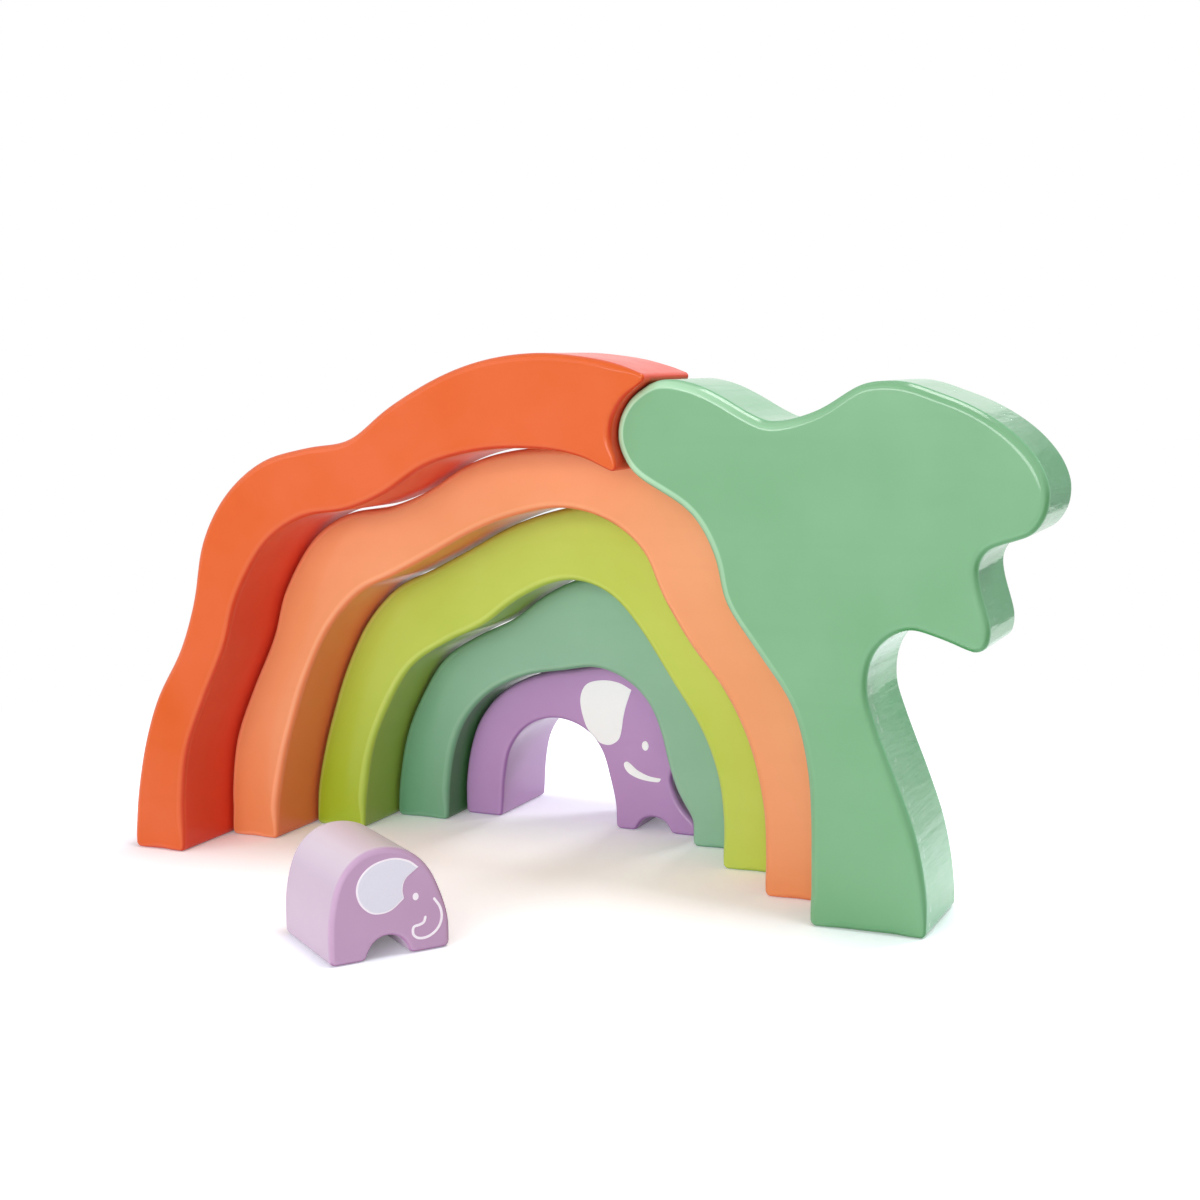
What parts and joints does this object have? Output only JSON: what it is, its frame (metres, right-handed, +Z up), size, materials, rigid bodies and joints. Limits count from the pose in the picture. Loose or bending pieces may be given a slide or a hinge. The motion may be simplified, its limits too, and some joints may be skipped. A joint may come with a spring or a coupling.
{
  "type": "nesting arch block set",
  "caption": "Painted wooden nesting arches with an elephant as the innermost arch, a tree that closes one side and a small loose elephant; the blocks slide in and out of each other.",
  "frame": {"origin": "centre of the set's footprint on the floor", "axes": "+X along the fronts of the blocks towards the tree, +Y away from the viewer, +Z up"},
  "size_m": [0.34, 0.222, 0.184],
  "materials": {
    "hill_paint": "satin red-orange lacquer on wood",
    "sunset_paint": "satin peach-orange lacquer on wood",
    "meadow_paint": "satin lime lacquer on wood",
    "forest_paint": "satin green lacquer on wood",
    "mother_paint": "satin purple lacquer on wood, white print on the front",
    "baby_paint": "satin lilac lacquer on wood, white print on the front",
    "tree_paint": "satin mint green lacquer on wood"
  },
  "bodies": {
    "sunset_arch": {"sunset_arch": "sunset_paint"},
    "hill_arch": {"hill_arch": "hill_paint"},
    "meadow_arch": {"meadow_arch": "meadow_paint"},
    "forest_arch": {"forest_arch": "forest_paint"},
    "mother_elephant": {"mother_elephant": "mother_paint"},
    "baby_elephant": {"baby_elephant": "baby_paint"},
    "tree": {"tree": "tree_paint"}
  },
  "joints": [
    {"name": "hill_slide", "type": "slide", "parent": "sunset_arch", "child": "hill_arch", "axis": [0, 1, 0], "range_m": [-0.016, 0.029]},
    {"name": "tree_slide", "type": "slide", "parent": "sunset_arch", "child": "tree", "axis": [0, 1, 0], "range_m": [-0.02, 0.025]},
    {"name": "meadow_slide", "type": "slide", "parent": "sunset_arch", "child": "meadow_arch", "axis": [0, 1, 0], "range_m": [-0.026, 0.019]},
    {"name": "forest_slide", "type": "slide", "parent": "sunset_arch", "child": "forest_arch", "axis": [0, 1, 0], "range_m": [-0.05, 0.021]},
    {"name": "mother_slide", "type": "slide", "parent": "sunset_arch", "child": "mother_elephant", "axis": [0, 1, 0], "range_m": [-0.063, 0.032]},
    {"name": "baby_walk", "type": "slide", "parent": "sunset_arch", "child": "baby_elephant", "axis": [0.5878, 0.809, 0], "range_m": [-0.04, 0.05]}
  ]
}
